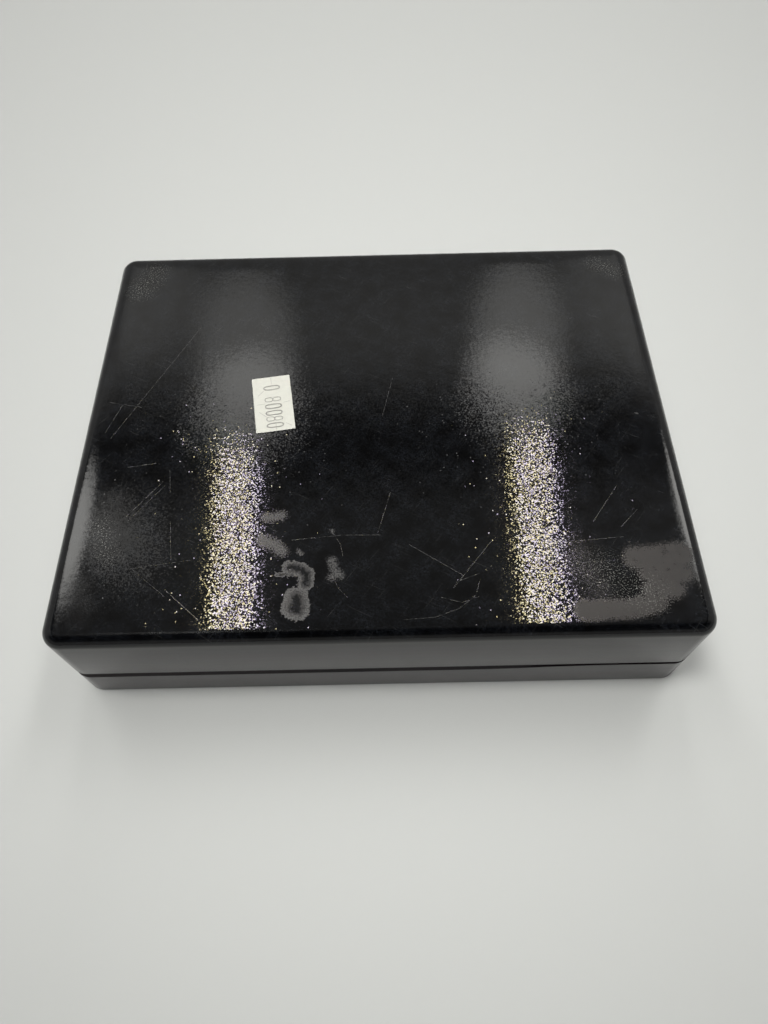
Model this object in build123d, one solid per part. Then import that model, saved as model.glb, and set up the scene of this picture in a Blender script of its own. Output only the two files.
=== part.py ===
"""A low rectangular lacquered box with a lid that lifts off.

The box is built as a maker builds one in wood. The base is a mitred frame of four boards round a floor
panel that is let into a rebate. Four thin collar boards stand inside it, rise above its rim and locate the
lid. The lid is a mitred frame of four boards under a slightly crowned top panel. Hidden keys cross every
mitre. A felt sheet lies on the floor, and a small paper label is stuck on the top.

Units are millimetres. +Z is up, +X runs along the long side and +Y to the back. The origin is the centre
of the underside, on the surface that the box stands on.
"""

from build123d import *
import os

# Overall outside sizes
BOX_WIDTH = 180.0
BOX_DEPTH = 146.5
BASE_HEIGHT = 14.8
LID_HEIGHT = 24.2

# Eased edges. The bevel round the base's rim leaves a dark groove under the lid's edge.
CORNER_RADIUS = 5.4
TOP_EDGE_RADIUS = 3.4
FOOT_EDGE_RADIUS = 0.4
BASE_RIM_BEVEL = 2.0
LID_RIM_RADIUS = 0.6

# Crown of the top, which is flat in the middle and falls away in an arc near its edges
CROWN_MARGIN = 9.0
CROWN_DROP = 0.35

# Boards
WALL = 6.0
TOP_PANEL = 5.5
TOP_PANEL_FIELD = 1.0
FLOOR_PANEL = 4.5
FLOOR_REBATE = 3.0
GLUE_LINE = 0.05

# Collar that locates the lid
COLLAR_BOARD = 2.5
COLLAR_RISE = 5.5
COLLAR_PLAY = 0.6
COLLAR_LEAD = 0.8

# Keys across the mitres
KEY_THICKNESS = 1.5
KEY_WIDTH = 4.4
KEY_COVER = 2.0

# Felt sheet on the floor
FELT = 1.8
FELT_GAP = 0.3
FELT_CORNER_RADIUS = 2.0
FELT_EDGE_RADIUS = 0.6

# Paper label on the top
LABEL_LENGTH = 21.5
LABEL_WIDTH = 12.0
LABEL_PAPER = 0.12
LABEL_X = -32.0
LABEL_Y = 4.9
LABEL_TURN = 7.8

# How far a cutting tool runs past the wood that it cuts
OVERCUT = 2.0

# Levels that follow from the sizes above
RIM_Z = BASE_HEIGHT
TOP_Z = BASE_HEIGHT + LID_HEIGHT
LID_WALL_TOP_Z = TOP_Z - TOP_PANEL
COLLAR_TOP_Z = RIM_Z + COLLAR_RISE

# Clear room inside the walls, and inside the collar
WELL_WIDTH = BOX_WIDTH - 2 * WALL
WELL_DEPTH = BOX_DEPTH - 2 * WALL
INNER_WIDTH = WELL_WIDTH - 2 * COLLAR_BOARD
INNER_DEPTH = WELL_DEPTH - 2 * COLLAR_BOARD

# The four sides, each a quarter turn on from the one before
SIDES = ("front", "right", "back", "left")
CORNERS = ((1, 1), (1, -1), (-1, 1), (-1, -1))


def rounded_block(width, depth, radius, low, high):
    """A block with rounded vertical corners, centred on the Z axis."""
    return Pos(0, 0, low) * extrude(RectangleRounded(width, depth, radius), high - low)


def square_block(width, depth, low, high):
    """A block with square corners, centred on the Z axis."""
    return Pos(0, 0, low) * extrude(Rectangle(width, depth), high - low)


def edges_at(shape, z):
    """The edges of a shape that lie flat at one height."""
    return shape.edges().filter_by_position(Axis.Z, z, z)


def board_room(side, low, high):
    """The room that one board of a mitred frame takes, between the 45 degree planes at its two ends."""
    along, across = BOX_WIDTH, BOX_DEPTH
    if side in ("left", "right"):
        along, across = BOX_DEPTH, BOX_WIDTH
    reach = WALL + COLLAR_BOARD + OVERCUT
    outer, inner = along / 2 + OVERCUT, along / 2 - reach
    near, far = -across / 2 - OVERCUT, -across / 2 + reach
    plan = Polygon((-outer, near), (outer, near), (inner, far), (-inner, far), align=None)
    return Pos(0, 0, low) * Rot(0, 0, 90 * SIDES.index(side)) * extrude(plan, high - low)


def mitred_boards(frame, low, high):
    """Cuts a whole frame into its four boards, by side."""
    return {side: frame & board_room(side, low - OVERCUT, high + OVERCUT) for side in SIDES}


def corner_keys(span, play):
    """Four keys, one across the mitre at each corner, in the middle of the wall. Play makes them slots."""
    low, high = span
    key = Box(KEY_THICKNESS + 2 * play, KEY_WIDTH + 2 * play, high - low + 2 * play)
    keys = []
    for sign_x, sign_y in CORNERS:
        x = sign_x * (BOX_WIDTH - WALL) / 2
        y = sign_y * (BOX_DEPTH - WALL) / 2
        keys.append(Pos(x, y, (low + high) / 2) * Rot(0, 0, 45 * sign_x * sign_y) * key)
    return keys


def base_key_span():
    """The lowest and highest point of the base keys, which stay above the floor rebate."""
    return FLOOR_PANEL + KEY_COVER, RIM_Z - KEY_COVER


def lid_key_span():
    """The lowest and highest point of the lid keys."""
    return RIM_Z + KEY_COVER, LID_WALL_TOP_Z - KEY_COVER


def cut_key_slots(frame, span):
    """Cuts the slots of the keys out of a frame."""
    for slot in corner_keys(span, GLUE_LINE):
        frame = frame - slot
    return frame


def base_boards():
    """The four base walls, with the floor rebate, the key slots, a bevelled rim and a rounded foot edge."""
    frame = rounded_block(BOX_WIDTH, BOX_DEPTH, CORNER_RADIUS, 0, RIM_Z)
    frame = fillet(edges_at(frame, 0), FOOT_EDGE_RADIUS)
    frame = chamfer(edges_at(frame, RIM_Z), BASE_RIM_BEVEL)
    frame = frame - square_block(WELL_WIDTH, WELL_DEPTH, -OVERCUT, RIM_Z + OVERCUT)
    rebate_width = WELL_WIDTH + 2 * FLOOR_REBATE
    rebate_depth = WELL_DEPTH + 2 * FLOOR_REBATE
    frame = frame - square_block(rebate_width, rebate_depth, -OVERCUT, FLOOR_PANEL)
    return mitred_boards(cut_key_slots(frame, base_key_span()), 0, RIM_Z)


def floor_panel():
    """The floor board, which fills the rebate in the base walls."""
    width = WELL_WIDTH + 2 * (FLOOR_REBATE - GLUE_LINE)
    depth = WELL_DEPTH + 2 * (FLOOR_REBATE - GLUE_LINE)
    return square_block(width, depth, 0, FLOOR_PANEL)


def collar_boards():
    """Four thin boards inside the base walls. Above the rim they stand back, so that the lid slides over."""
    frame = square_block(WELL_WIDTH, WELL_DEPTH, FLOOR_PANEL, RIM_Z)
    tongue_width = WELL_WIDTH - 2 * COLLAR_PLAY
    tongue_depth = WELL_DEPTH - 2 * COLLAR_PLAY
    tongue = square_block(tongue_width, tongue_depth, FLOOR_PANEL, COLLAR_TOP_Z)
    tongue = chamfer(edges_at(tongue, COLLAR_TOP_Z), COLLAR_LEAD)
    room = square_block(INNER_WIDTH, INNER_DEPTH, FLOOR_PANEL - OVERCUT, COLLAR_TOP_Z + OVERCUT)
    return mitred_boards(frame + tongue - room, FLOOR_PANEL, COLLAR_TOP_Z)


def floor_felt():
    """The felt sheet, which lies loose on the floor panel inside the collar."""
    width = INNER_WIDTH - 2 * FELT_GAP
    depth = INNER_DEPTH - 2 * FELT_GAP
    top = FLOOR_PANEL + FELT
    felt = rounded_block(width, depth, FELT_CORNER_RADIUS, FLOOR_PANEL, top)
    return fillet(edges_at(felt, top), FELT_EDGE_RADIUS)


def lid_boards():
    """The four lid walls, with key slots and a rounded rim edge."""
    frame = rounded_block(BOX_WIDTH, BOX_DEPTH, CORNER_RADIUS, RIM_Z, LID_WALL_TOP_Z)
    frame = fillet(edges_at(frame, RIM_Z), LID_RIM_RADIUS)
    frame = frame - square_block(WELL_WIDTH, WELL_DEPTH, RIM_Z - OVERCUT, TOP_Z)
    return mitred_boards(cut_key_slots(frame, lid_key_span()), RIM_Z, LID_WALL_TOP_Z)


def crown_vault(across, along):
    """A long vault whose roof is flat in the middle and falls away in an arc at both sides of one width."""
    radius = (CROWN_MARGIN**2 + CROWN_DROP**2) / (2 * CROWN_DROP)
    run = CROWN_MARGIN + OVERCUT
    fall = radius - (radius**2 - run**2) ** 0.5
    flat, edge = across / 2 - CROWN_MARGIN, across / 2 + OVERCUT
    low = LID_WALL_TOP_Z - TOP_PANEL_FIELD - OVERCUT
    roof = Line((-flat, TOP_Z), (flat, TOP_Z))
    right = TangentArc((flat, TOP_Z), (edge, TOP_Z - fall), tangent=(1, 0))
    left = TangentArc((-flat, TOP_Z), (-edge, TOP_Z - fall), tangent=(-1, 0))
    below = Polyline((edge, TOP_Z - fall), (edge, low), (-edge, low), (-edge, TOP_Z - fall))
    section = make_face(Plane.XZ * (Curve() + [roof, right, below, left]))
    return extrude(section, along / 2 + OVERCUT, both=True)


def top_panel():
    """The crowned top board with its rounded edge, and the field under it that drops between the walls."""
    board = rounded_block(BOX_WIDTH, BOX_DEPTH, CORNER_RADIUS, LID_WALL_TOP_Z, TOP_Z)
    board = fillet(edges_at(board, TOP_Z), TOP_EDGE_RADIUS)
    board = board & crown_vault(BOX_WIDTH, BOX_DEPTH) & Rot(0, 0, 90) * crown_vault(BOX_DEPTH, BOX_WIDTH)
    field_width = WELL_WIDTH - 2 * GLUE_LINE
    field_depth = WELL_DEPTH - 2 * GLUE_LINE
    return board + square_block(field_width, field_depth, LID_WALL_TOP_Z - TOP_PANEL_FIELD, LID_WALL_TOP_Z)


def price_label():
    """The paper label, stuck on the top with its long side nearly along Y."""
    paper = Box(LABEL_WIDTH, LABEL_LENGTH, LABEL_PAPER, align=(Align.CENTER, Align.CENTER, Align.MIN))
    return Pos(LABEL_X, LABEL_Y, TOP_Z) * Rot(0, 0, LABEL_TURN) * paper


def write(name, shape):
    """Writes one node."""
    export_step(shape, os.path.join("parts", name + ".step"))


os.makedirs("parts", exist_ok=True)

write("base_floor_panel", floor_panel())
for side, board in base_boards().items():
    write(f"base_{side}_wall", board)
write("base_corner_keys", Compound(children=corner_keys(base_key_span(), 0)))
for side, board in collar_boards().items():
    write(f"collar_{side}", board)
write("floor_felt", floor_felt())

write("lid_top_panel", top_panel())
for side, board in lid_boards().items():
    write(f"lid_{side}_wall", board)
write("lid_corner_keys", Compound(children=corner_keys(lid_key_span(), 0)))
write("price_label", price_label())
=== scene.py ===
"""Dresses the low black lacquered box with its lift-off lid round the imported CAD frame.

The frame gives the place and size of every board. The outside of the lid and of the base is one unbroken
coat of sprayed lacquer, so one shell stands for the boards of each. The collar boards and the hidden keys
keep their CAD shapes. The felt and the paper label are pieces of their own. Sizes in the script are
millimetres in the frame's own axes: +X along the long side, +Y to the back and +Z up, with the origin under
the middle of the box.
"""

from __future__ import annotations

import logging
import math
from collections.abc import Callable, Iterator
from contextlib import contextmanager
from dataclasses import dataclass, field
from enum import Enum
from functools import reduce

import bmesh
import bpy
from mathutils import Matrix, Vector

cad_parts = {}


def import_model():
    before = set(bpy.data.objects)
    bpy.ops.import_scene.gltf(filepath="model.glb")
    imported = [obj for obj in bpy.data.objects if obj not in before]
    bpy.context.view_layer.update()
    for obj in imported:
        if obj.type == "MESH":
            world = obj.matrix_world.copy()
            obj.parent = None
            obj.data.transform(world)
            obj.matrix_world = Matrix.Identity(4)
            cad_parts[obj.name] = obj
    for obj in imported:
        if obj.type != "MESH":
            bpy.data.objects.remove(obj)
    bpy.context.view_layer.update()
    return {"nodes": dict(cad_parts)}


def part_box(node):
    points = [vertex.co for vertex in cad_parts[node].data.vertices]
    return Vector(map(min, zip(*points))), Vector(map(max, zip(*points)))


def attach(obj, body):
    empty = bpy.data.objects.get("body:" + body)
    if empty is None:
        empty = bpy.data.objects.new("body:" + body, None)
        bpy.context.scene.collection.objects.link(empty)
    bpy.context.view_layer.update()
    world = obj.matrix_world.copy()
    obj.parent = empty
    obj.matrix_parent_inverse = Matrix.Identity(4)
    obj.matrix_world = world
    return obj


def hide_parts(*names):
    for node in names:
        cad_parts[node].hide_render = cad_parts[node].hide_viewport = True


LOG = logging.getLogger("lacquer_box")
MM = 0.001
CLOSE = 1e-6

Point = tuple[float, float]
Triple = tuple[float, float, float]
Colour = tuple[float, float, float, float]
Tree = bpy.types.NodeTree
Socket = bpy.types.NodeSocket
Material = bpy.types.Material
Object = bpy.types.Object


def linear(code: str) -> Colour:
    """Turns an sRGB hex colour to the linear colour that the shaders work in.

    Args:
        code: Six hex digits, with or without a leading hash.

    Returns:
        Red, green, blue and an alpha of one.
    """
    digits = code.lstrip("#")
    channels = []
    for start in (0, 2, 4):
        value = int(digits[start:start + 2], 16) / 255
        channels.append(value / 12.92 if value <= 0.04045 else ((value + 0.055) / 1.055) ** 2.4)
    return (channels[0], channels[1], channels[2], 1.0)


def add(tree: Tree, kind: str, inputs: dict | None = None, out: int | str = 0,
        **settings: object) -> Socket | None:
    """Adds one node with its settings, values and links.

    Args:
        tree: The node tree that gets the node.
        kind: Blender's name for the kind of node.
        inputs: A value or an output socket for each input, by the input's name or number.
        out: The name or number of the output to hand back.
        **settings: Properties to set on the node itself.

    Returns:
        The chosen output socket, or None for a node that has no outputs.
    """
    node = tree.nodes.new(kind)
    for name, value in settings.items():
        setattr(node, name, value)
    for key, value in (inputs or {}).items():
        if isinstance(value, Socket):
            tree.links.new(value, node.inputs[key])
        else:
            node.inputs[key].default_value = value
    return node.outputs[out] if len(node.outputs) else None


def maths(tree: Tree, operation: str, *values: float | Socket) -> Socket:
    """Works out one sum with numbers."""
    return add(tree, "ShaderNodeMath", dict(enumerate(values)), operation=operation)


def vectors(tree: Tree, operation: str, *values: Triple | Socket, out: int | str = 0) -> Socket:
    """Works out one sum with vectors."""
    return add(tree, "ShaderNodeVectorMath", dict(enumerate(values)), out, operation=operation)


def scaled(tree: Tree, vector: Socket, factor: float | Socket) -> Socket:
    """Makes a vector longer or shorter."""
    return add(tree, "ShaderNodeVectorMath", {0: vector, "Scale": factor}, operation="SCALE")


def product(tree: Tree, *factors: float | Socket) -> Socket:
    """Multiplies several masks and numbers."""
    return reduce(lambda so_far, factor: maths(tree, "MULTIPLY", so_far, factor), factors)


def noise(tree: Tree, point: Socket, scale: float, detail: float, out: str = "Fac", **more: float) -> Socket:
    """Draws a noise, whose cells are as many to the millimetre as the scale says."""
    return add(tree, "ShaderNodeTexNoise", {"Vector": point, "Scale": scale, "Detail": detail, **more}, out)


def remap(tree: Tree, value: Socket, start: float, end: float, low: float | Socket = 0.0,
          high: float = 1.0, ease: str = "LINEAR") -> Socket:
    """Turns one range of values into another and holds it at its ends.

    Args:
        tree: The node tree.
        value: The value.
        start: The value that gives the low end.
        end: The value that gives the high end.
        low: The low end.
        high: The high end.
        ease: Blender's name for the way from one end to the other.

    Returns:
        The new value.
    """
    return add(tree, "ShaderNodeMapRange", {"Value": value, "From Min": start, "From Max": end, "To Min": low,
                                            "To Max": high}, interpolation_type=ease)


def blend(tree: Tree, mask: Socket, under: float | Socket, over: float | Socket) -> Socket:
    """Mixes two numbers by a mask."""
    return add(tree, "ShaderNodeMix", {"Factor": mask, "A": under, "B": over})


def paint(tree: Tree, under: Colour | Socket, over: Colour | Socket, mask: Socket) -> Socket:
    """Lays one colour over another where a mask says."""
    return add(tree, "ShaderNodeMix", {0: mask, 6: under, 7: over}, 2, data_type="RGBA", clamp_factor=True)


def axis(tree: Tree, vector: Socket, name: str) -> Socket:
    """Takes one coordinate of a vector."""
    return add(tree, "ShaderNodeSeparateXYZ", {0: vector}, name)


def new_material(name: str) -> tuple[Material, Tree]:
    """Starts a material with an empty node tree.

    Args:
        name: The material's name.

    Returns:
        The material and its node tree.
    """
    material = bpy.data.materials.new(name)
    material.use_nodes = True
    material.node_tree.nodes.clear()
    return material, material.node_tree


def surface(tree: Tree, inputs: dict) -> None:
    """Gives a material its shader, with a value or a socket for each of its inputs."""
    add(tree, "ShaderNodeOutputMaterial", {"Surface": add(tree, "ShaderNodeBsdfPrincipled", inputs)})


def pick(*objects: Object) -> None:
    """Selects these objects and no others, and makes the first one active.

    Args:
        *objects: The objects, or none to clear the selection.
    """
    bpy.ops.object.select_all(action="DESELECT")
    for obj in objects:
        obj.select_set(True)
    if objects:
        bpy.context.view_layer.objects.active = objects[0]


def join(pieces: list[Object], name: str) -> Object:
    """Joins several objects into one piece with a name of its own.

    Args:
        pieces: The objects.
        name: The name.

    Returns:
        The one piece.
    """
    pick(*pieces)
    bpy.ops.object.join()
    pieces[0].name = pieces[0].data.name = name
    return pieces[0]


def upright(edge: bmesh.types.BMEdge) -> bool:
    """Says whether an edge stands upright."""
    a, b = (v.co for v in edge.verts)
    return abs(a.x - b.x) < CLOSE and abs(a.y - b.y) < CLOSE


def sharp_at(z: float) -> Callable[[bmesh.types.BMEdge], bool]:
    """Makes a test for sharp level edges at one height, in metres."""
    return lambda edge: lies_at(z)(edge) and edge.calc_face_angle(0.0) > math.radians(60)


def lies_at(z: float) -> Callable[[bmesh.types.BMEdge | bmesh.types.BMFace], bool]:
    """Makes a test for edges or faces that lie level at one height, in metres."""
    return lambda element: all(abs(v.co.z - z) < CLOSE for v in element.verts)


class Part(Enum):
    """What a selection in edit mode picks."""

    EDGES = "EDGE"
    FACES = "FACE"


@dataclass
class Workpiece:
    """One new mesh that is shaped with Blender's own modelling tools."""

    obj: Object

    @classmethod
    def block(cls, name: str, low: Vector, high: Vector) -> Workpiece:
        """Adds a cube at its size and place, to be shaped further.

        Args:
            name: The piece's name.
            low: Its lowest corner, in metres.
            high: Its highest corner, in metres.

        Returns:
            The new workpiece, with its place in its mesh.
        """
        pick()
        bpy.ops.mesh.primitive_cube_add(size=1, location=(low + high) / 2)
        obj = bpy.context.active_object
        obj.name = obj.data.name = name
        obj.scale = high - low
        bpy.ops.object.transform_apply(location=True, rotation=True, scale=True)
        return cls(obj)

    @contextmanager
    def edit(self, part: Part, test: Callable[[object], bool] = lambda element: True) -> Iterator[None]:
        """Opens the piece in edit mode with the edges or faces selected that pass a test.

        Args:
            part: Whether the test is put to edges or to faces.
            test: Says whether an edge or face is picked. Without it, all are.

        Yields:
            Nothing. The piece leaves edit mode afterwards.
        """
        pick(self.obj)
        bpy.ops.object.mode_set(mode="EDIT")
        bpy.ops.mesh.select_mode(type=part.value)
        bpy.ops.mesh.select_all(action="DESELECT")
        mesh = bmesh.from_edit_mesh(self.obj.data)
        for element in mesh.edges if part is Part.EDGES else mesh.faces:
            if test(element):
                element.select_set(True)
        mesh.select_flush_mode()
        bmesh.update_edit_mesh(self.obj.data)
        yield
        bpy.ops.object.mode_set(mode="OBJECT")

    def round_edges(self, test: Callable[[bmesh.types.BMEdge], bool], radius: float, steps: int) -> None:
        """Rounds the edges that pass a test, or bevels them where there is one step.

        Args:
            test: Says whether an edge is rounded.
            radius: The radius, in millimetres.
            steps: How many flats make up the round.
        """
        with self.edit(Part.EDGES, test):
            bpy.ops.mesh.bevel(offset=radius * MM, offset_type="OFFSET", segments=steps, profile=0.5,
                               affect="EDGES", clamp_overlap=True)

    def ring_in(self, z: float, scale: Point) -> None:
        """Draws the flat face at one height in to a smaller one, with a ring round it.

        Args:
            z: The face's height, in metres.
            scale: How much of its width and depth the face keeps.
        """
        with self.edit(Part.FACES, lies_at(z)):
            bpy.ops.mesh.extrude_region_move()
            bpy.ops.transform.resize(value=(scale[0], scale[1], 1), center_override=(0, 0, z))

    def slice_at(self, place: Triple, normal: Triple, test: Callable[[object], bool]) -> None:
        """Cuts new edges into the faces that pass a test, along a plane.

        Args:
            place: A point on the plane, in metres.
            normal: The direction across the plane.
            test: Says whether a face is cut.
        """
        with self.edit(Part.FACES, test):
            bpy.ops.mesh.bisect(plane_co=place, plane_no=normal, use_fill=False)

    def score(self, z: float, half: Point) -> None:
        """Cuts a centred rectangle into the flat faces at one height.

        Args:
            z: The height of the faces, in metres.
            half: Half the rectangle's width and depth, in metres.
        """
        for sign in (1, -1):
            self.slice_at((sign * half[0], 0, 0), (1, 0, 0), lies_at(z))
        for sign in (1, -1):
            self.slice_at((0, sign * half[1], 0), (0, 1, 0), lies_at(z))

    def sink(self, z: float, half: Point, travel: float) -> None:
        """Pushes the part of a flat face that lies inside a centred rectangle up or down.

        Args:
            z: The face's height, in metres.
            half: Half the rectangle's width and depth, in metres.
            travel: How far the floor of the hollow lies from the face, in millimetres, up being positive.
        """
        def inside(face: bmesh.types.BMFace) -> bool:
            """Says whether a face lies in the rectangle."""
            middle = face.calc_center_median()
            return lies_at(z)(face) and abs(middle.x) < half[0] and abs(middle.y) < half[1]

        with self.edit(Part.FACES, inside):
            bpy.ops.mesh.extrude_region_move(TRANSFORM_OT_translate={"value": (0, 0, travel * MM)})

    def finish(self, smooth_up_to: float = 35.0) -> Object:
        """Merges doubles, turns the faces outwards and shades the round parts smooth.

        Args:
            smooth_up_to: The sharpest fold that still shades smooth, in degrees.

        Returns:
            The finished object.
        """
        with self.edit(Part.FACES):
            bpy.ops.mesh.remove_doubles(threshold=CLOSE)
            bpy.ops.mesh.normals_make_consistent(inside=False)
        bpy.ops.object.shade_smooth_by_angle(angle=math.radians(smooth_up_to))
        return self.obj

    def fit(self, finish: Material, slot: str, body: str, *boards: str) -> Object:
        """Finishes the piece, dresses it and puts it in the place of the CAD nodes that it stands for.

        Args:
            finish: The finish.
            slot: The material slot that it fills; not used.
            body: The body that it rides.
            *boards: The CAD nodes that it stands for.

        Returns:
            The finished object.
        """
        obj = self.finish()
        obj.data.materials.append(finish)
        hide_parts(*boards)
        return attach(obj, body)


@dataclass
class Dimensions:
    """The box's own sizes: those read from the frame in metres, and the rounds in millimetres."""

    low: Vector = field(init=False)
    high: Vector = field(init=False)
    rim: float = field(init=False)
    well: Point = field(init=False)
    ceiling: float = field(init=False)
    floor: float = field(init=False)
    corner_radius: float = 5.4
    top_edge_radius: float = 3.4
    foot_edge_radius: float = 0.4
    base_rim_bevel: float = 2.0
    lid_rim_radius: float = 0.6
    hollow_radius: float = 0.8
    crown_margin: float = 9.0
    crown_drop: float = 0.35

    def __post_init__(self) -> None:
        """Reads what the frame knows."""
        lid_low, lid_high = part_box("lid_top_panel")
        self.low = Vector((lid_low.x, lid_low.y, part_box("base_front_wall")[0].z))
        self.high = lid_high
        self.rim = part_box("lid_front_wall")[0].z
        self.ceiling = lid_low.z
        self.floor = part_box("base_floor_panel")[1].z
        self.well = (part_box("collar_front")[1].x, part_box("collar_right")[1].y)


@dataclass(frozen=True)
class Stroke:
    """A straight mark, from one point to another.

    Attributes:
        start: Where it starts, in millimetres from the middle of the box.
        end: Where it ends.
        reach: How far its edge lies from its middle line, in millimetres.
    """

    start: Point
    end: Point
    reach: float


def strokes(*runs: tuple[float, ...]) -> list[Stroke]:
    """Joins runs of points into strokes.

    Args:
        *runs: The reach of each run, and then the X and the Y of each of its points in turn.

    Returns:
        The strokes of all runs.
    """
    joined = []
    for reach, *numbers in runs:
        points = list(zip(numbers[::2], numbers[1::2]))
        joined += [Stroke(start, end, reach) for start, end in zip(points, points[1:])]
    return joined


@dataclass(frozen=True)
class Marks:
    """One kind of mark on the top of the lid, and how it fades in from its edge.

    Attributes:
        strokes: Where the marks are.
        edge: The depth inside a stroke at which a mark begins to show. The stroke's middle line is one.
        full: The depth from which it shows fully.
        fray: How much the grain of the lacquer breaks up its edge.
    """

    strokes: list[Stroke]
    edge: float
    full: float
    fray: float = 0.0


SCRATCHES = Marks(strokes(
    (0.1, -80.9, -7.1, -58.2, 37.5), (0.1, -83.1, -5.2, -79.3, 5.6), (0.1, -83.9, 6.9, -73.1, 4.6),
    (0.14, -72.1, -35.3, -62.8, -23.3), (0.09, -71.0, -36.2, -62.0, -24.6),
    (0.11, -74.0, -17.9, -65.8, -16.7), (0.15, -57.6, -58.1, -47.7, -67.0),
    (0.06, -69.2, -50.3, -57.6, -60.0), (0.05, -68.0, -51.5, -51.9, -49.2),
    (0.06, -61.3, -19.2, -60.2, -27.0), (0.05, -58.9, -36.8, -57.2, -49.1),
    (0.3, 79.7, -1.9, 80.4, -2.2), (0.11, -24.0, -43.6, -10.0, -42.4), (0.14, -10.0, -42.4, 1.0, -42.6),
    (0.1, 4.1, -28.3, 0.2, -41.8), (0.09, -12.9, -41.0, -10.2, -45.4, -9.6, -49.0),
    (0.09, -12.4, -55.0, -10.9, -58.4, -8.3, -61.4), (0.12, 8.8, -45.8, 23.4, -55.7),
    (0.12, 60.9, -39.8, 69.3, -28.3), (0.12, 68.5, -41.6, 73.9, -36.2), (0.11, 20.5, -59.2, 31.7, -45.4),
    (0.15, 21.2, -57.6, 27.5, -55.2), (0.09, 2.0, -1.0, 5.5, 14.0), (0.08, 53.6, -46.0, 68.6, -44.8),
    (0.08, 54.0, -52.8, 64.0, -52.0),
    (0.11, 6.8, -68.1, 15.0, -67.6, 21.5, -65.3, 26.2, -61.6, 27.5, -57.6),
    (0.1, 17.0, -62.0, 22.5, -63.6, 27.0, -62.0)
), edge=0.0, full=0.6)
TIDE_MARKS = Marks(strokes(
    (2.3, -24.2, -52.2, -21.4, -52.6, -19.4, -54.2, -19.6, -57.0),
    (3.6, -22.0, -61.4, -21.6, -64.4, -22.6, -64.0), (0.7, -27.6, -54.2, -23.4, -54.4)
), edge=0.0, full=0.1)
SPILL_MARKS = Marks(strokes(
    (2.1, -31.2, -36.2, -27.2, -35.6), (2.4, -32.0, -43.6, -28.6, -45.0, -26.6, -47.0),
    (1.0, -21.8, -47.2, -21.0, -48.0), (0.8, -12.9, -41.0, -12.5, -41.6),
    (1.9, -12.6, -50.2, -11.8, -53.4, -10.4, -54.8, -12.4, -55.2)
), edge=-0.1, full=0.9, fray=1.6)
DULL_PATCHES = Marks(strokes(
    (4.0, 71.0, -51.6, 83.0, -50.6), (4.6, 75.0, -56.0, 81.5, -55.6), (3.8, 74.0, -61.4, 79.0, -60.4),
    (3.2, 55.0, -66.6, 68.0, -66.2, 74.0, -64.4)
), edge=-0.25, full=0.45, fray=1.3)
FAINT_PATCHES = Marks(strokes(
    (5.5, -81.6, -57.0, -79.6, -64.0), (7.0, -76.0, -30.0, -74.0, -38.0),
    (7.0, 57.0, -50.0, 60.0, -60.0)
), edge=-0.2, full=0.9, fray=1.6)
DUSTY_PATCHES = Marks(strokes(
    (5.0, -79.0, -38.0, -75.0, -48.0), (7.0, -81.0, 56.0, -77.0, 64.0), (5.0, 78.0, 64.0, 84.0, 60.0),
    (8.0, 60.0, -55.0, 72.0, -62.0)
), edge=-0.2, full=1.0)
CHIPPED_SPOTS = Marks(strokes(
    (2.6, -60.8, -4.6, -57.3, -9.5, -54.8, -13.0), (0.8, -67.0, 14.4, -66.0, 11.0)
), edge=0.0, full=0.7)
LABEL_CUTS = strokes(
    (0.12, 0.0, 10.4, 0.0, 7.7), (0.12, -2.6, 5.4, -4.4, 3.6), (0.12, -5.1, 0.1, -2.4, 0.1),
    (0.12, -4.5, -2.9, -2.2, -5.3), (0.12, 3.2, -0.1, 5.3, 0.2), (0.12, 3.3, -8.1, 5.0, -9.4),
    (0.12, 0.2, -7.5, 0.3, -10.4)
)


def stroke_group() -> Tree:
    """Builds the node group that measures how deep a point lies inside one stroke.

    Returns:
        A group that gives one on the stroke's middle line, nought at its edge and less beyond.
    """
    tree = bpy.data.node_groups.new("depth_in_stroke", "ShaderNodeTree")
    for name, kind in (("Point", "Vector"), ("Start", "Vector"), ("Along", "Vector"), ("Length", "Float"),
                       ("Reach", "Float")):
        tree.interface.new_socket(name, in_out="INPUT", socket_type=f"NodeSocket{kind}")
    tree.interface.new_socket("Depth", in_out="OUTPUT", socket_type="NodeSocketFloat")
    given = tree.nodes.new("NodeGroupInput").outputs
    from_start = vectors(tree, "SUBTRACT", given["Point"], given["Start"])
    travelled = vectors(tree, "DOT_PRODUCT", from_start, given["Along"], out="Value")
    kept = add(tree, "ShaderNodeClamp", {"Value": travelled, "Min": 0.0, "Max": given["Length"]})
    nearest = scaled(tree, given["Along"], kept)
    off = vectors(tree, "DISTANCE", from_start, nearest, out="Value")
    depth = maths(tree, "SUBTRACT", 1.0, maths(tree, "DIVIDE", off, given["Reach"]))
    add(tree, "NodeGroupOutput", {"Depth": depth})
    return tree


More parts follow.
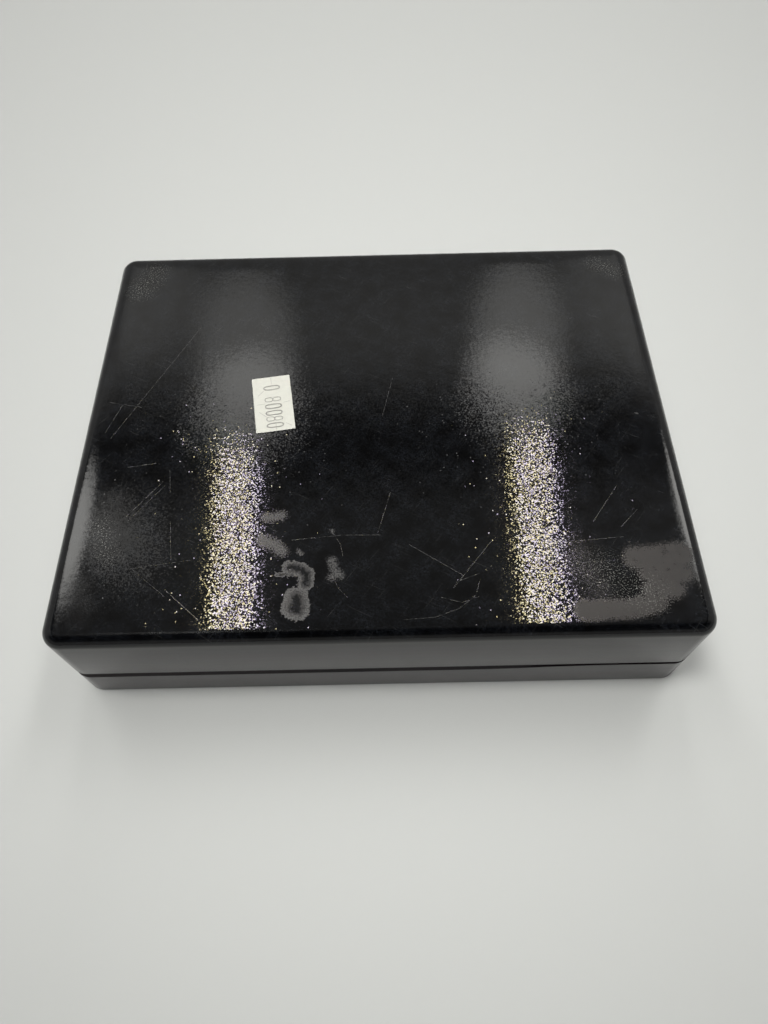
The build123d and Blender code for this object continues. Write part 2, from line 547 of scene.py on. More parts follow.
@dataclass
class Ground:
    """The places and textures that the lacquer's colour, gloss and relief are drawn from.

    Attributes:
        tree: The material's node tree.
        point: The place, in millimetres.
        top: One on the top of the lid and nought on the sides.
        rub_lines: A texture of lines along the sides.
        tear_mm: How far ragged outlines are torn from their true line.
        group: The group that measures one stroke.
        flat: The place with its height set to nought.
        torn: The same place pushed about, which tears the outlines that are drawn with it.
        grain: The fine grain of the lacquer.
        dither: The same grain, about nought.
        patchy: Broad soft patches.
    """

    tree: Tree
    point: Socket
    top: Socket
    rub_lines: Socket
    tear_mm: float = 2.6
    group: Tree = field(init=False)
    flat: Socket = field(init=False)
    torn: Socket = field(init=False)
    grain: Socket = field(init=False)
    dither: Socket = field(init=False)
    patchy: Socket = field(init=False)

    def __post_init__(self) -> None:
        """Draws the textures."""
        tree = self.tree
        self.group = stroke_group()
        self.flat = vectors(tree, "MULTIPLY", self.point, (1, 1, 0))
        self.grain = noise(tree, self.flat, 2.4, 2.0)
        self.dither = maths(tree, "SUBTRACT", self.grain, 0.5)
        self.patchy = noise(tree, self.flat, 0.16, 3.0)
        ragged = noise(tree, self.flat, 1.1, 4.0, "Color", Roughness=0.6)
        shift = vectors(tree, "SUBTRACT", ragged, (0.5, 0.5, 0.5))
        self.torn = vectors(tree, "ADD", self.flat, scaled(tree, shift, self.tear_mm))

    def depth(self, marks: Marks, point: Socket) -> Socket:
        """Measures how deep a point lies inside the nearest stroke of some marks.

        Args:
            marks: The marks.
            point: The flat place or the torn one.

        Returns:
            The greatest depth, which is one on a middle line.
        """
        deepest = None
        for stroke in marks.strokes:
            start, end = Vector((*stroke.start, 0)), Vector((*stroke.end, 0))
            depth = add(self.tree, "ShaderNodeGroup", node_tree=self.group)
            inputs = depth.node.inputs
            self.tree.links.new(point, inputs["Point"])
            inputs["Start"].default_value = start
            inputs["Along"].default_value = (end - start).normalized()
            inputs["Length"].default_value = (end - start).length
            inputs["Reach"].default_value = stroke.reach
            deepest = depth if deepest is None else maths(self.tree, "MAXIMUM", deepest, depth)
        return deepest

    def shown(self, marks: Marks, depth: Socket) -> Socket:
        """Turns a depth inside marks to how strongly they show.

        Args:
            marks: The marks.
            depth: The depth.

        Returns:
            Their strength, from nought to one.
        """
        if marks.fray:
            depth = maths(self.tree, "MULTIPLY_ADD", self.dither, marks.fray, depth)
        return remap(self.tree, depth, marks.edge, marks.full, ease="SMOOTHSTEP")

    def masked(self, marks: Marks) -> Socket:
        """Shows marks with torn outlines, from nought to one."""
        return self.shown(marks, self.depth(marks, self.torn))


@dataclass(frozen=True)
class Wear:
    """How strongly each kind of wear shows at a place on the top, from nought to one."""

    scratch: Socket
    stain: Socket
    dull: Socket
    faint: Socket
    dusty: Socket
    dulled: Socket


@dataclass(frozen=True)
class Lacquer:
    """Sprayed black lacquer on wood, polished on the top and rubbed satin on the sides.

    Lacquer has an index of refraction near 1.5. Sprayed in thick coats it dries with a fine ripple, the
    orange peel, and catches small nibs of dust, which glitter under a lamp. The eye sees a black that is
    all reflection, with grey scratches, water marks and dull patches where it was handled.
    """

    colour: str = "#030304"
    hairline_web_and_sheen_colour: str = "#25282E"
    rub_colour: str = "#3E353B"
    worn_colour: str = "#262322"
    tide_colour: str = "#454647"
    scratch_colour: str = "#4C4C4B"
    dust_colour: str = "#7A7A76"
    ior: float = 1.5
    top_roughness: float = 0.05
    side_roughness: float = 0.17
    dull_roughness: float = 0.42
    side_below_mm: float = 4.6
    top_above_mm: float = 3.0
    ripple_mm: float = 1.8
    ripple_height_mm: float = 0.009
    nib_mm: float = 0.5
    nib_height_mm: float = 0.0015
    scratch_depth_mm: float = 0.01
    spill_share: float = 0.75
    faint_share: float = 0.3
    dust_share: float = 0.9
    hair_share: float = 0.22
    chip_share: float = 0.7
    calm_share: float = 0.3
    even_back: Point = (2.0, 18.0)
    even_side: Point = (72.0, 83.0)
    even_share: float = 0.3
    facet_mm: float = 0.29
    least_tilt: float = 0.037
    most_tilt: float = 0.17
    steep_share: float = 0.05
    hair_turns: Point = (52.0, -28.0)
    rub_line_mm: float = 1.5
    rub_height_mm: float = 0.006

    def build(self, top_z: float) -> Material:
        """Makes the material.

        Args:
            top_z: The height of the lid's top, in metres, which tells the top from the sides.

        Returns:
            The material.
        """
        material, tree = new_material("sprayed_black_lacquer")
        point = scaled(tree, add(tree, "ShaderNodeTexCoord", out="Object"), 1 / MM)
        top = remap(tree, axis(tree, point, "Z"), top_z / MM - self.side_below_mm,
                    top_z / MM - self.top_above_mm, ease="SMOOTHSTEP")
        along = vectors(tree, "MULTIPLY", point, (0.02, 0.02, 1 / self.rub_line_mm))
        ground = Ground(tree, point, top, noise(tree, along, 1.0, 2.0))
        wear = self.wear(ground)
        surface(tree, {"Base Color": self.tones(ground, wear), "Roughness": self.gloss(ground, wear),
                       "IOR": self.ior, "Normal": self.relief(ground, wear)})
        return material

    def wear(self, ground: Ground) -> Wear:
        """Draws the scratches, stains and dull patches of the top.

        Args:
            ground: What they are drawn from.

        Returns:
            A mask for each kind of wear.
        """
        tree = ground.tree
        rubbed_out = remap(tree, noise(tree, ground.flat, 0.9, 2.0), 0.38, 0.62, low=0.12)
        scratch = ground.shown(SCRATCHES, ground.depth(SCRATCHES, ground.flat))
        scratch = product(tree, scratch, rubbed_out)

        # A drop dries with a pale rim, and what is wiped dries brushed
        brushed = remap(tree, ground.grain, 0.35, 0.65, 0.55, 1.1)
        tide_depth = ground.depth(TIDE_MARKS, ground.torn)
        rim = remap(tree, tide_depth, 0.08, 0.85, 1.0, 0.12)
        tide = product(tree, ground.shown(TIDE_MARKS, tide_depth), rim, brushed)
        spill = product(tree, ground.masked(SPILL_MARKS), brushed, self.spill_share)
        stain = maths(tree, "MAXIMUM", tide, spill)

        mottled = remap(tree, noise(tree, ground.torn, 0.45, 3.0), 0.3, 0.6, 0.55, 1.0)
        dull = product(tree, ground.masked(DULL_PATCHES), mottled)
        faint = product(tree, ground.masked(FAINT_PATCHES), ground.patchy, self.faint_share)
        specks = remap(tree, ground.grain, 0.55, 0.7)
        dusty = product(tree, ground.masked(DUSTY_PATCHES), specks, self.dust_share)
        dulled = maths(tree, "MAXIMUM", maths(tree, "MAXIMUM", dull, stain), faint)
        return Wear(scratch, stain, dull, faint, dusty, dulled)

    def tones(self, ground: Ground, wear: Wear) -> Socket:
        """Paints the black with its web of hairlines and painted sheen and its wear, and the sides with
        rubbing marks.

        Args:
            ground: What the marks are drawn from.
            wear: The masks of the wear.

        Returns:
            The colour.
        """
        tree, flat = ground.tree, ground.flat
        clouds = remap(tree, ground.patchy, 0.35, 0.62)
        # The web is partly fine hairline wear and partly painted sheen: the mottled reflection of the dark
        # room painted into the black
        hairline_web_and_sheen = remap(tree, noise(tree, flat, 1.6, 4.0, Roughness=0.75, Distortion=1.5), 0.45, 0.75)
        hairs = maths(tree, "MAXIMUM", *(self.hairlines(tree, flat, turn) for turn in self.hair_turns))
        colour = paint(tree, linear(self.colour), linear(self.hairline_web_and_sheen_colour), product(tree, hairline_web_and_sheen, clouds))
        for code, mask in ((self.scratch_colour, product(tree, hairs, clouds, self.hair_share)),
                           (self.worn_colour, wear.faint), (self.worn_colour, wear.dull),
                           (self.tide_colour, wear.stain), (self.dust_colour, wear.dusty),
                           (self.scratch_colour, wear.scratch)):
            colour = paint(tree, colour, linear(code), mask)
        streaks = remap(tree, ground.rub_lines, 0.35, 0.68, 0.28, 0.66)
        rubbed = paint(tree, linear(self.colour), linear(self.rub_colour), streaks)
        return paint(tree, rubbed, colour, ground.top)

    def gloss(self, ground: Ground, wear: Wear) -> Socket:
        """Gives the roughness: polished on the top, satin on the sides and dull where it is worn.

        Args:
            ground: What it is drawn from.
            wear: The masks of the wear.

        Returns:
            The roughness.
        """
        tree = ground.tree
        polished = remap(tree, ground.patchy, 0.0, 1.0, self.top_roughness * 0.8, self.top_roughness * 1.3)
        polished = blend(tree, wear.dulled, polished, self.dull_roughness)
        satin = remap(tree, ground.patchy, 0.0, 1.0, self.side_roughness * 0.85, self.side_roughness * 1.2)
        return blend(tree, ground.top, satin, polished)

    def relief(self, ground: Ground, wear: Wear) -> Socket:
        """Gives the normal: the orange peel, the nibs, the scratches and the facets.

        Args:
            ground: What the relief is drawn from.
            wear: The masks of the wear.

        Returns:
            The normal.
        """
        tree, flat = ground.tree, ground.flat
        ripple = product(tree, noise(tree, flat, 1 / self.ripple_mm, 1.0), self.ripple_height_mm)
        nibs = noise(tree, flat, 1 / self.nib_mm, 1.5)
        height = maths(tree, "MULTIPLY_ADD", nibs, self.nib_height_mm, ripple)
        calm = remap(tree, wear.dulled, 0.0, 1.0, 1.0, self.calm_share)
        height = product(tree, height, calm)
        height = maths(tree, "MULTIPLY_ADD", wear.scratch, -self.scratch_depth_mm, height)
        height = blend(tree, ground.top, product(tree, ground.rub_lines, self.rub_height_mm), height)
        return add(tree, "ShaderNodeBump", {"Strength": 1.0, "Distance": MM, "Height": height,
                                            "Normal": self.facets(ground, calm)}, "Normal")

    def facets(self, ground: Ground, calm: Socket) -> Socket:
        """Tilts each small facet of the top, most of them a little and a few of them a lot.

        Args:
            ground: What the facets are drawn from.
            calm: Less than one where the lacquer is dulled.

        Returns:
            The normal of the facets.
        """
        tree = ground.tree
        cells = add(tree, "ShaderNodeTexVoronoi", {"Vector": ground.flat, "Scale": 1 / self.facet_mm},
                    "Color", voronoi_dimensions="2D")
        chance = axis(tree, cells, "Z")
        steep = maths(tree, "POWER", remap(tree, chance, 1 - self.steep_share, 1.0), 2.5)
        chipped = product(tree, remap(tree, chance, 0.35, 1.0), ground.masked(CHIPPED_SPOTS),
                          self.chip_share)
        steep = maths(tree, "MAXIMUM", steep, chipped)
        tilt = remap(tree, steep, 0.0, 1.0, self.least_tilt, self.most_tilt)
        tilt = product(tree, tilt, ground.top, calm, self.evenness(ground))
        lean = vectors(tree, "SUBTRACT", cells, (0.5, 0.5, 0.5))
        lean = scaled(tree, vectors(tree, "MULTIPLY", lean, (1, 1, 0)), tilt)
        leaning = vectors(tree, "ADD", add(tree, "ShaderNodeNewGeometry", out="Normal"), lean)
        return vectors(tree, "NORMALIZE", leaning)

    def evenness(self, ground: Ground) -> Socket:
        """Says how much the facets stand out: fully in front, and less at the back and near the sides.

        Args:
            ground: What the facets are drawn from.

        Returns:
            A share, up to one.
        """
        tree = ground.tree
        across = maths(tree, "ABSOLUTE", axis(tree, ground.flat, "X"))
        back = remap(tree, axis(tree, ground.flat, "Y"), *self.even_back, 1.0, self.even_share, "SMOOTHSTEP")
        side = remap(tree, across, *self.even_side, 1.0, self.even_share, "SMOOTHSTEP")
        return maths(tree, "MINIMUM", back, side)

    @staticmethod
    def hairlines(tree: Tree, flat: Socket, turn: float) -> Socket:
        """Draws many short hairlines that all run one way.

        Args:
            tree: The node tree.
            flat: The place on the top.
            turn: The way that they run, in degrees from +X.

        Returns:
            A mask, from nought to one.
        """
        turned = add(tree, "ShaderNodeVectorRotate", {"Vector": flat, "Angle": -math.radians(turn)},
                     rotation_type="Z_AXIS")
        drawn = vectors(tree, "MULTIPLY", turned, (0.09, 2.4, 1.0))
        return remap(tree, noise(tree, drawn, 1.0, 1.0), 0.66, 0.74)


@dataclass(frozen=True)
class Glow:
    """A soft bright patch of the room.

    Attributes:
        azimuth: Its direction from +Y towards +X, in degrees.
        elevation: How high it stands, in degrees.
        reach: How far it spreads along each axis, as a share of the distance to it.
        level: How much it adds at its middle.
    """

    azimuth: float
    elevation: float
    reach: Triple
    level: float

    def aim(self) -> Triple:
        """Gives the direction of its middle."""
        a, e = math.radians(self.azimuth), math.radians(self.elevation)
        return (math.sin(a) * math.cos(e), math.cos(a) * math.cos(e), math.sin(e))


@dataclass(frozen=True)
class Studio:
    """A pale table, two long ceiling lamps, a bright room and a camera at the photograph's angle.

    Matt surfaces are lit by the soft light of the room alone. The gloss mirrors the lamps and a darker room,
    with the glows that the lacquer shows. The table's colour carries a painted pool of light: it is painted
    darker away from its middle.
    """

    camera_at: Triple = (3.35, -142.88, 224.1)
    camera_turn: Triple = (30.176, 0.944, -0.907)
    lens: float = 26.37
    floor_colour: str = "#DCDEDD"
    floor_reach: float = 4000.0
    painted_light_axis: Triple = (0.0086, 0.5026, -0.8645)
    painted_light_falloff: float = 1.23
    least_painted_light: float = 0.74
    lamp_height: float = 1500.0
    lamp_width: float = 36.0
    lamp_radiance: float = 30.0
    lamp_colours: tuple[str, ...] = ("#FFEDA8", "#FFFDF0", "#E6D6FF")
    room_colour: str = "#FFFEFA"
    backdrop_level: float = 0.66
    low_light: float = 0.1
    matt_light: tuple[Glow, ...] = (
        Glow(0.0, 38.1, (0.087, 0.572, 0.572), 5.4), Glow(0.0, 86.6, (0.16, 0.16, 0.16), 5.9),
        Glow(-37.7, 54.5, (0.075, 0.5, 0.5), 9.2), Glow(37.7, 54.5, (0.075, 0.5, 0.5), 12.2),
        Glow(-90.0, 74.6, (0.158, 0.158, 0.158), 37.7), Glow(90.0, 73.0, (0.101, 0.101, 0.101), 5.0))
    mirrored: tuple[Glow, ...] = (
        Glow(-15.2, 46.5, (0.084, 0.5, 0.1), 0.75), Glow(-16.5, 50.0, (0.082, 0.5, 0.055), 1.65),
        Glow(14.3, 46.5, (0.077, 0.5, 0.1), 1.02), Glow(14.6, 49.3, (0.078, 0.5, 0.05), 1.75),
        Glow(-45.8, 50.0, (0.118, 0.118, 0.108), 4.1), Glow(-36.9, 55.8, (0.06, 0.06, 0.05), 0.9),
        Glow(47.0, 47.5, (0.115, 0.115, 0.115), 4.8), Glow(-23.0, 40.5, (0.1, 0.3, 0.08), 0.3),
        Glow(24.0, 41.0, (0.12, 0.3, 0.1), 0.35))
    room_levels: tuple[Point, ...] = (
        (0.0, 0.4), (0.88, 0.36), (0.97, 0.46), (1.06, 0.5), (1.14, 0.44), (1.22, 0.27), (1.3, 0.1),
        (1.38, 0.03), (1.5, 0.06), (1.7, 0.2), (2.0, 0.2), (2.4, 0.15), (4.0, 0.13))

    def build(self) -> None:
        """Makes the floor, the lamps, the world and the camera."""
        self.floor()
        self.lamp("lamp_left", (-353.0, 250.0), (-402.7, 1012.0))
        self.lamp("lamp_right", (360.0, 250.0), (382.2, 1040.0))
        self.world()
        self.camera()
        bpy.context.scene.view_settings.view_transform = "Standard"

    def floor(self) -> None:
        """Lays the table top."""
        pick()
        bpy.ops.mesh.primitive_circle_add(vertices=96, radius=self.floor_reach * MM, fill_type="NGON")
        floor = bpy.context.active_object
        floor.name = "floor"
        material, tree = new_material("pale_laminate_with_painted_light")
        place = add(tree, "ShaderNodeTexCoord", out="Object")
        # Painted light: the table's colour is painted darker away from the camera's axis, a pool of light
        # that falls off towards the corners
        way = vectors(tree, "SUBTRACT", place, tuple(value * MM for value in self.camera_at))
        way = vectors(tree, "NORMALIZE", way)
        share = vectors(tree, "DOT_PRODUCT", way, self.painted_light_axis, out="Value")
        share = maths(tree, "POWER", maths(tree, "MAXIMUM", share, self.least_painted_light), self.painted_light_falloff)
        colour = paint(tree, (0, 0, 0, 1), linear(self.floor_colour), share)
        surface(tree, {"Base Color": colour, "Roughness": 0.8, "Specular IOR Level": 0.2})
        floor.data.materials.append(material)

    def lamp(self, name: str, near: Point, far: Point) -> None:
        """Hangs one long tube lamp under the ceiling, as strips side by side.

        Args:
            name: The lamp's name.
            near: Where its end nearer the camera is, in millimetres.
            far: Where its other end is.
        """
        run = Vector(far) - Vector(near)
        middle = (Vector(far) + Vector(near)) / 2
        across = Vector((run.y, -run.x)).normalized()
        strip = self.lamp_width / len(self.lamp_colours)
        for number, colour in enumerate(self.lamp_colours):
            at = middle + across * strip * (number - (len(self.lamp_colours) - 1) / 2)
            light = bpy.data.lights.new(f"{name}_{number}", "AREA")
            light.shape = "RECTANGLE"
            light.size, light.size_y = strip * MM, run.length * MM
            light.energy = math.pi * self.lamp_radiance * light.size * light.size_y
            light.color = linear(colour)[:3]
            obj = bpy.data.objects.new(f"{name}_{number}", light)
            obj.location = (at.x * MM, at.y * MM, self.lamp_height * MM)
            obj.rotation_euler = (0, 0, math.atan2(-run.x, run.y))
            obj.visible_diffuse = False
            bpy.context.scene.collection.objects.link(obj)

    def world(self) -> None:
        """Sets the soft light of the room and what the gloss mirrors."""
        world = bpy.data.worlds.new("pale_room")
        bpy.context.scene.world = world
        world.use_nodes = True
        tree = world.node_tree
        tree.nodes.clear()
        way = add(tree, "ShaderNodeTexCoord", out="Generated")
        up = axis(tree, way, "Z")

        # The room is a square one, so its walls get their level from how steeply a direction rises
        size = vectors(tree, "ABSOLUTE", way)
        reach = maths(tree, "MAXIMUM", axis(tree, size, "X"), axis(tree, size, "Y"))
        rise = maths(tree, "DIVIDE", up, maths(tree, "MAXIMUM", reach, 0.01))
        room = self.glowing(tree, way, self.walls(tree, rise), self.mirrored)

        # The ceiling behind the camera is dark
        ceiling = remap(tree, up, 0.3, 0.6, 0.7, 0.05, "SMOOTHSTEP")
        dim = remap(tree, axis(tree, way, "Y"), -0.35, 0.1, ceiling, ease="SMOOTHSTEP")
        room = product(tree, room, dim)

        matt = self.glowing(tree, way, self.low_light, self.matt_light)
        level = blend(tree, add(tree, "ShaderNodeLightPath", out="Is Glossy Ray"), matt, room)
        level = blend(tree, add(tree, "ShaderNodeLightPath", out="Is Camera Ray"), level, self.backdrop_level)
        shader = add(tree, "ShaderNodeBackground", {"Color": linear(self.room_colour), "Strength": level})
        add(tree, "ShaderNodeOutputWorld", {"Surface": shader})

    def walls(self, tree: Tree, rise: Socket) -> Socket:
        """Reads the brightness of the walls.

        Args:
            tree: The world's node tree.
            rise: How steeply a direction rises.

        Returns:
            The brightness.
        """
        steepest = self.room_levels[-1][0]
        ramp = add(tree, "ShaderNodeValToRGB", {"Fac": maths(tree, "MULTIPLY", rise, 1 / steepest)})
        bar = ramp.node.color_ramp
        while len(bar.elements) < len(self.room_levels):
            bar.elements.new(1.0)
        for element, (at, level) in zip(bar.elements, self.room_levels):
            element.position = at / steepest
            element.color = (level, level, level, 1)
        return ramp

    @staticmethod
    def glowing(tree: Tree, way: Socket, under: float | Socket, glows: tuple[Glow, ...]) -> Socket:
        """Adds glows to a brightness, each fading from its middle to its edge.

        Args:
            tree: The world's node tree.
            way: The direction looked in.
            under: The brightness that the glows are added to.
            glows: The glows.

        Returns:
            The sum.
        """
        for glow in glows:
            off = vectors(tree, "DIVIDE", vectors(tree, "SUBTRACT", way, glow.aim()), glow.reach)
            off = vectors(tree, "DOT_PRODUCT", off, off, out="Value")
            spot = remap(tree, off, 1.0, 0.0, ease="SMOOTHERSTEP")
            under = maths(tree, "MULTIPLY_ADD", spot, glow.level, under)
        return under

    def camera(self) -> None:
        """Puts the camera where the photograph was taken from."""
        camera = bpy.data.cameras.new("camera")
        camera.lens = self.lens
        camera.sensor_width = 36.0
        camera.clip_start = 0.01
        obj = bpy.data.objects.new("camera", camera)
        obj.location = [value * MM for value in self.camera_at]
        obj.rotation_euler = [math.radians(value) for value in self.camera_turn]
        bpy.context.scene.collection.objects.link(obj)
        bpy.context.scene.camera = obj


@dataclass
class Lid:
    """The lid: one lacquered shell that stands for its five boards."""

    size: Dimensions
    crown_rings: int = 6

    def build(self, lacquer: Material) -> Object:
        """Models the shell: a block with rounded edges, a crowned top and a hollow underside.

        Args:
            lacquer: The finish.

        Returns:
            The shell.
        """
        s = self.size
        shell = Workpiece.block("lid_lacquer_shell", Vector((s.low.x, s.low.y, s.rim)), s.high)
        shell.round_edges(upright, s.corner_radius, 12)
        shell.round_edges(sharp_at(s.rim), s.lid_rim_radius, 4)
        shell.round_edges(sharp_at(s.high.z), s.top_edge_radius, 10)
        self.crown(shell)
        shell.score(s.rim, s.well)
        shell.sink(s.rim, s.well, (s.ceiling - s.rim) / MM)
        well_x, well_y = s.well

        def in_corner(edge: bmesh.types.BMEdge) -> bool:
            """Says whether an edge is an upright corner of the hollow."""
            return upright(edge) and all(
                abs(abs(v.co.x) - well_x) < CLOSE and abs(abs(v.co.y) - well_y) < CLOSE for v in edge.verts)

        shell.round_edges(in_corner, s.hollow_radius, 4)
        shell.round_edges(sharp_at(s.ceiling), s.hollow_radius, 4)
        return shell.fit(lacquer, "black_lacquer", "lid", "lid_top_panel", "lid_front_wall", "lid_back_wall",
                         "lid_left_wall", "lid_right_wall")

    def crown(self, shell: Workpiece) -> None:
        """Draws the flat top in ring by ring, and lowers each ring by the crown's arc.

        Args:
            shell: The lid's block with its edges rounded.
        """
        s = self.size
        radius = (s.crown_margin ** 2 + s.crown_drop ** 2) / (2 * s.crown_drop)
        half_x, half_y = s.high.x / MM, s.high.y / MM
        inset = s.top_edge_radius
        for step in range(1, self.crown_rings + 1):
            reach = s.top_edge_radius + (s.crown_margin - s.top_edge_radius) * step / self.crown_rings
            scale = ((half_x - reach) / (half_x - inset), (half_y - reach) / (half_y - inset))
            shell.ring_in(s.high.z, scale)
            inset = reach
        for vertex in shell.obj.data.vertices:
            run_x = max(0.0, s.crown_margin - (half_x - abs(vertex.co.x) / MM))
            run_y = max(0.0, s.crown_margin - (half_y - abs(vertex.co.y) / MM))
            fall = radius - math.sqrt(radius ** 2 - max(run_x, run_y) ** 2)
            share = max(0.0, 1 - (s.high.z - vertex.co.z) / MM / s.top_edge_radius)
            vertex.co.z -= fall * share * MM


@dataclass
class Base:
    """The base: one lacquered shell, with a bevel round its rim that hand sanding has made uneven."""

    size: Dimensions
    bevel_left: float = 2.5
    bevel_right: float = 1.0
    taper: tuple[float, ...] = (30.0, 40.0, 50.0, 60.0)

    def bevel_at(self, x: float) -> float:
        """Gives how far the bevel reaches down at one place along the box, in millimetres."""
        share = min(1.0, max(0.0, (x - self.taper[0]) / (self.taper[-1] - self.taper[0])))
        return self.bevel_left + (self.bevel_right - self.bevel_left) * share * share * (3 - 2 * share)

    def build(self, lacquer: Material) -> Object:
        """Models the shell: a low tray with a bevelled rim and a rounded foot edge.

        Args:
            lacquer: The finish.

        Returns:
            The shell.
        """
        s = self.size
        shell = Workpiece.block("base_lacquer_shell", s.low, Vector((s.high.x, s.high.y, s.rim)))
        shell.round_edges(upright, s.corner_radius, 12)
        shell.round_edges(sharp_at(s.low.z), s.foot_edge_radius, 5)
        shell.round_edges(sharp_at(s.rim), s.base_rim_bevel, 1)
        for at in self.taper:
            shell.slice_at((at * MM, 0, 0), (1, 0, 0), lambda face: True)
        for vertex in shell.obj.data.vertices:
            if abs(vertex.co.z - s.rim + s.base_rim_bevel * MM) < CLOSE:
                vertex.co.z = s.rim - self.bevel_at(vertex.co.x / MM) * MM
        shell.score(s.rim, s.well)
        shell.sink(s.rim, s.well, (s.floor - s.rim) / MM)
        return shell.fit(lacquer, "black_lacquer", "base", "base_floor_panel", "base_front_wall",
                         "base_back_wall", "base_left_wall", "base_right_wall")


@dataclass
class Felt:
    """The felt sheet that lies loose on the floor of the base."""

    corner_radius: float = 2.0
    edge_radius: float = 0.6

    def build(self, cloth: Material) -> Object:
        """Models the sheet as a thin slab with rounded corners and a soft upper edge.

        Args:
            cloth: The finish.

        Returns:
            The sheet.
        """
        low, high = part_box("floor_felt")
        sheet = Workpiece.block("floor_felt_sheet", low, high)
        sheet.round_edges(upright, self.corner_radius, 6)
        sheet.round_edges(sharp_at(high.z), self.edge_radius, 3)
        obj = sheet.fit(cloth, "felt", "base", "floor_felt")
        return obj


class Digit(Enum):
    """The plain digits on the label, each as the loops that a thin condensed figure is drawn with.

    A loop is its middle along the figure's height, its half height and its half width, as shares of half
    the figure's height and width.
    """

    ZERO = ((0.0, 1.0, 1.0),)
    EIGHT = ((0.5, 0.5, 0.9), (-0.5, 0.5, 1.0))


@dataclass
class PriceLabel:
    """The small paper label with security cuts and a row of thin grey digits."""

    turn: float = 7.8
    length: float = 21.5
    width: float = 12.0
    paper: float = 0.1
    corner_radius: float = 0.25
    figure_height: float = 4.9
    figure_width: float = 1.55
    line: float = 0.13
    ink: float = 0.01
    slit: float = 0.004
    squareness: float = 1.35
    figures: tuple[tuple[Digit, float], ...] = (
        (Digit.ZERO, 6.3), (Digit.EIGHT, 1.6), (Digit.ZERO, -1.1), (Digit.ZERO, -3.7), (Digit.EIGHT, -6.0),
        (Digit.ZERO, -8.5))

    def build(self, paper: Material, ink: Material) -> list[Object]:
        """Cuts the paper, prints the digits on it and lays the slits.

        Args:
            paper: The paper's finish.
            ink: The finish of the ink, which also paints the shade in the slits.

        Returns:
            The paper, the digits and the slits.
        """
        low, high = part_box("price_label")
        middle = Vector(((low.x + high.x) / 2, (low.y + high.y) / 2, low.z))
        place = Matrix.Translation(middle) @ Matrix.Rotation(math.radians(self.turn), 4, "Z")
        half = Vector((self.width / 2, self.length / 2, 0)) * MM
        sheet = Workpiece.block("price_label_paper", -half, half + Vector((0, 0, self.paper * MM)))
        sheet.round_edges(upright, self.corner_radius, 3)
        label = sheet.finish()
        label.data.transform(place)
        label.data.materials.append(paper)
        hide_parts("price_label")
        print_place = place @ Matrix.Translation((0, 0, self.paper * MM))
        pieces = [label, self.print_figures(print_place), self.cut_slits(print_place)]
        for piece in pieces[1:]:
            piece.data.materials.append(ink)
        for piece in pieces:
            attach(piece, "lid")
        return pieces

    def print_figures(self, place: Matrix) -> Object:
        """Draws the digits as thin flat loops of ink on the paper.

        Args:
            place: Where the face of the label lies.

        Returns:
            The row of digits, as one piece.
        """
        loops = []
        half_tall, half_wide = self.figure_height / 2, self.figure_width / 2
        for digit, along in self.figures:
            for rise, tall, wide in digit.value:
                pick()
                bpy.ops.curve.primitive_bezier_circle_add(radius=MM)
                loop = bpy.context.active_object
                for bend in loop.data.splines[0].bezier_points:
                    for side in ("handle_left", "handle_right"):
                        setattr(bend, f"{side}_type", "FREE")
                        setattr(bend, side, bend.co + (getattr(bend, side) - bend.co) * self.squareness)
                stretch = Matrix.Diagonal((tall * half_tall, wide * half_wide, 1, 1))
                loop.data.transform(Matrix.Translation((rise * half_tall * MM, along * MM, 0)) @ stretch)
                loop.data.resolution_u = 8
                loop.data.bevel_depth = self.line * MM
                loop.data.bevel_resolution = 0
                bpy.ops.object.convert(target="MESH")
                loops.append(bpy.context.active_object)
        figures = join(loops, "label_figures")
        figures.data.transform(place @ Matrix.Diagonal((1, 1, self.ink / self.line, 1)))
        return figures

    def cut_slits(self, place: Matrix) -> Object:
        """Lays the security slits of the label as thin lines of shade on the paper.

        Args:
            place: Where the face of the label lies.

        Returns:
            The slits, as one piece.
        """
        slits = []
        for cut in LABEL_CUTS:
            start, end = Vector(cut.start), Vector(cut.end)
            along, middle = end - start, (start + end) / 2 * MM
            half = Vector((along.length / 2, cut.reach / 2, 0)) * MM
            slit = Workpiece.block("label_slit", -half, half + Vector((0, 0, self.slit * MM))).obj
            slit.data.transform(place @ Matrix.Translation((middle.x, middle.y, 0))
                                @ Matrix.Rotation(math.atan2(along.y, along.x), 4, "Z"))
            slits.append(slit)
        return join(slits, "label_slits")


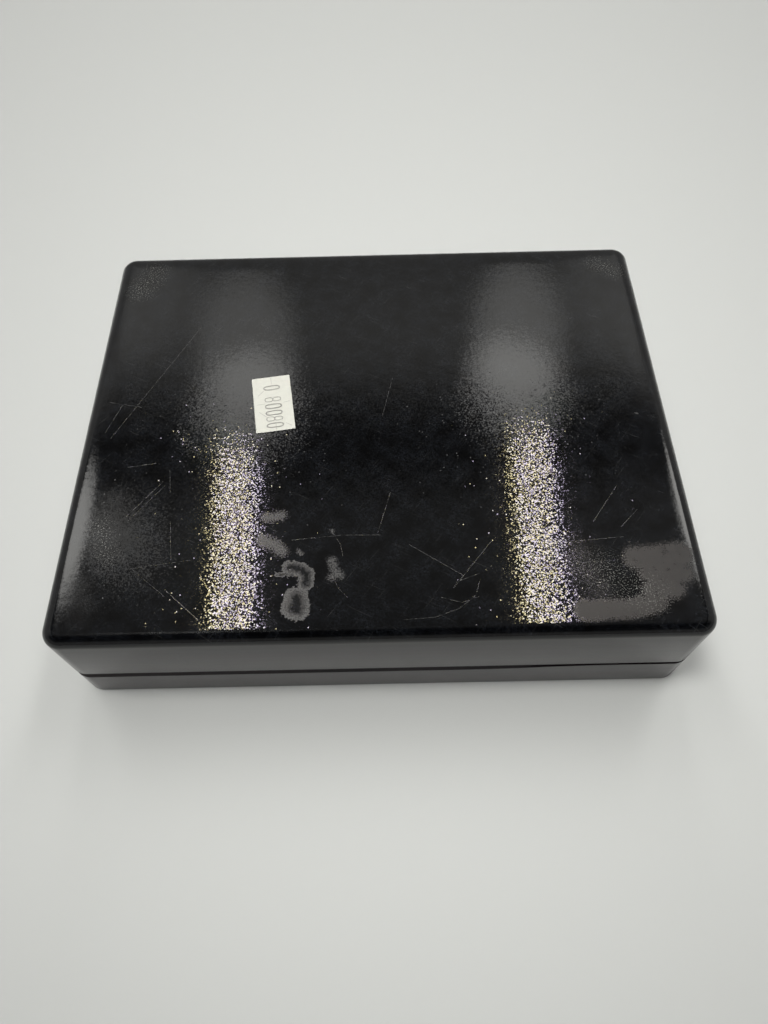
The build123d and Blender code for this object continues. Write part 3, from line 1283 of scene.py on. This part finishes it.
@dataclass(frozen=True)
class PlainFinish:
    """A finish whose colour and roughness waver a little over its surface, with a fine grain.

    Attributes:
        name: What the finish is.
        dark: Its darker colour.
        light: Its lighter colour.
        roughness: How rough it is in the middle.
        grain_mm: The size of its grain.
        relief_mm: How high the grain stands.
        stretch: How much longer the grain is along each axis.
        sheen: How much soft light stands on its fibres.
        ior: Its index of refraction.
    """

    name: str
    dark: str
    light: str
    roughness: float
    grain_mm: float
    relief_mm: float
    stretch: Triple = (1.0, 1.0, 1.0)
    sheen: float = 0.0
    ior: float = 1.5

    def build(self) -> Material:
        """Makes the material.

        Returns:
            The material.
        """
        material, tree = new_material(self.name)
        place = add(tree, "ShaderNodeTexCoord", out="Object")
        scale = tuple(1 / (MM * part) for part in self.stretch)
        point = add(tree, "ShaderNodeMapping", {"Vector": place, "Scale": scale})
        cloud = noise(tree, point, 0.12 / self.grain_mm, 3.0)
        grain = noise(tree, point, 1 / self.grain_mm, 3.0)
        ramp = add(tree, "ShaderNodeValToRGB", {"Fac": remap(tree, product(tree, cloud, grain), 0.12, 0.4)})
        ramp.node.color_ramp.elements[0].color = linear(self.dark)
        ramp.node.color_ramp.elements[1].color = linear(self.light)
        roughness = remap(tree, cloud, 0.0, 1.0, self.roughness * 0.85, min(1.0, self.roughness * 1.15))
        height = product(tree, grain, self.relief_mm)
        normal = add(tree, "ShaderNodeBump", {"Strength": 1.0, "Distance": MM, "Height": height}, "Normal")
        surface(tree, {"Base Color": ramp, "Roughness": roughness, "IOR": self.ior, "Normal": normal,
                       "Sheen Weight": self.sheen, "Sheen Tint": linear(self.light), "Sheen Roughness": 0.5})
        return material


# Pressed wool is fully rough, a wine red, with soft light on its fibres
WOOL_FELT = PlainFinish("pressed_wool_felt", "#2C0B10", "#571A22", 0.95, 0.35, 0.12, sheen=0.35)
# The collar has one thin coat, brushed along the boards and left satin
COLLAR_LACQUER = PlainFinish("brushed_black_lacquer", "#070707", "#101010", 0.32, 0.5, 0.01, (6.0, 6.0, 1.0))
# Lime is a pale yellow brown wood with a quiet grain
LIME_WOOD = PlainFinish("bare_lime_wood", "#A98558", "#C9A878", 0.6, 0.4, 0.03, (1.0, 1.0, 8.0))
# The label is matt coated paper, slightly warm
LABEL_PAPER = PlainFinish("matt_label_paper", "#DDDDD5", "#E5E5DC", 0.75, 0.15, 0.004)
# The ink roller of the label gun was nearly dry, so the figures are a pale grey. The same grey is the painted
# shade in the label's slits
GREY_INK_AND_SLIT_SHADE = PlainFinish("pale_grey_ink_and_slit_shade", "#A4A29E", "#B9B7B2", 0.6, 0.3, 0.001)


def dress(nodes: list[Object], material: Material) -> None:
    """Gives CAD nodes that stay visible a finish of their own.

    Args:
        nodes: The nodes.
        material: The finish.
    """
    for node in nodes:
        node.data.materials.clear()
        node.data.materials.append(material)
        LOG.info("%s keeps its shape", node.name)


def main() -> None:
    """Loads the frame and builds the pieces."""
    logging.basicConfig(level=logging.INFO, format="%(name)s: %(message)s")
    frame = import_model()
    size = Dimensions()
    lacquer = Lacquer().build(size.high.z)
    pieces = [Lid(size).build(lacquer), Base(size).build(lacquer), Felt().build(WOOL_FELT.build())]
    pieces += PriceLabel().build(LABEL_PAPER.build(), GREY_INK_AND_SLIT_SHADE.build())
    nodes = frame["nodes"]
    dress([nodes[f"collar_{side}"] for side in ("front", "right", "back", "left")], COLLAR_LACQUER.build())
    dress([nodes[f"{half}_corner_keys"] for half in ("base", "lid")], LIME_WOOD.build())
    for piece in pieces:
        LOG.info("%s: %d faces", piece.name, len(piece.data.polygons))
    Studio().build()


if __name__ == "__main__":
    main()
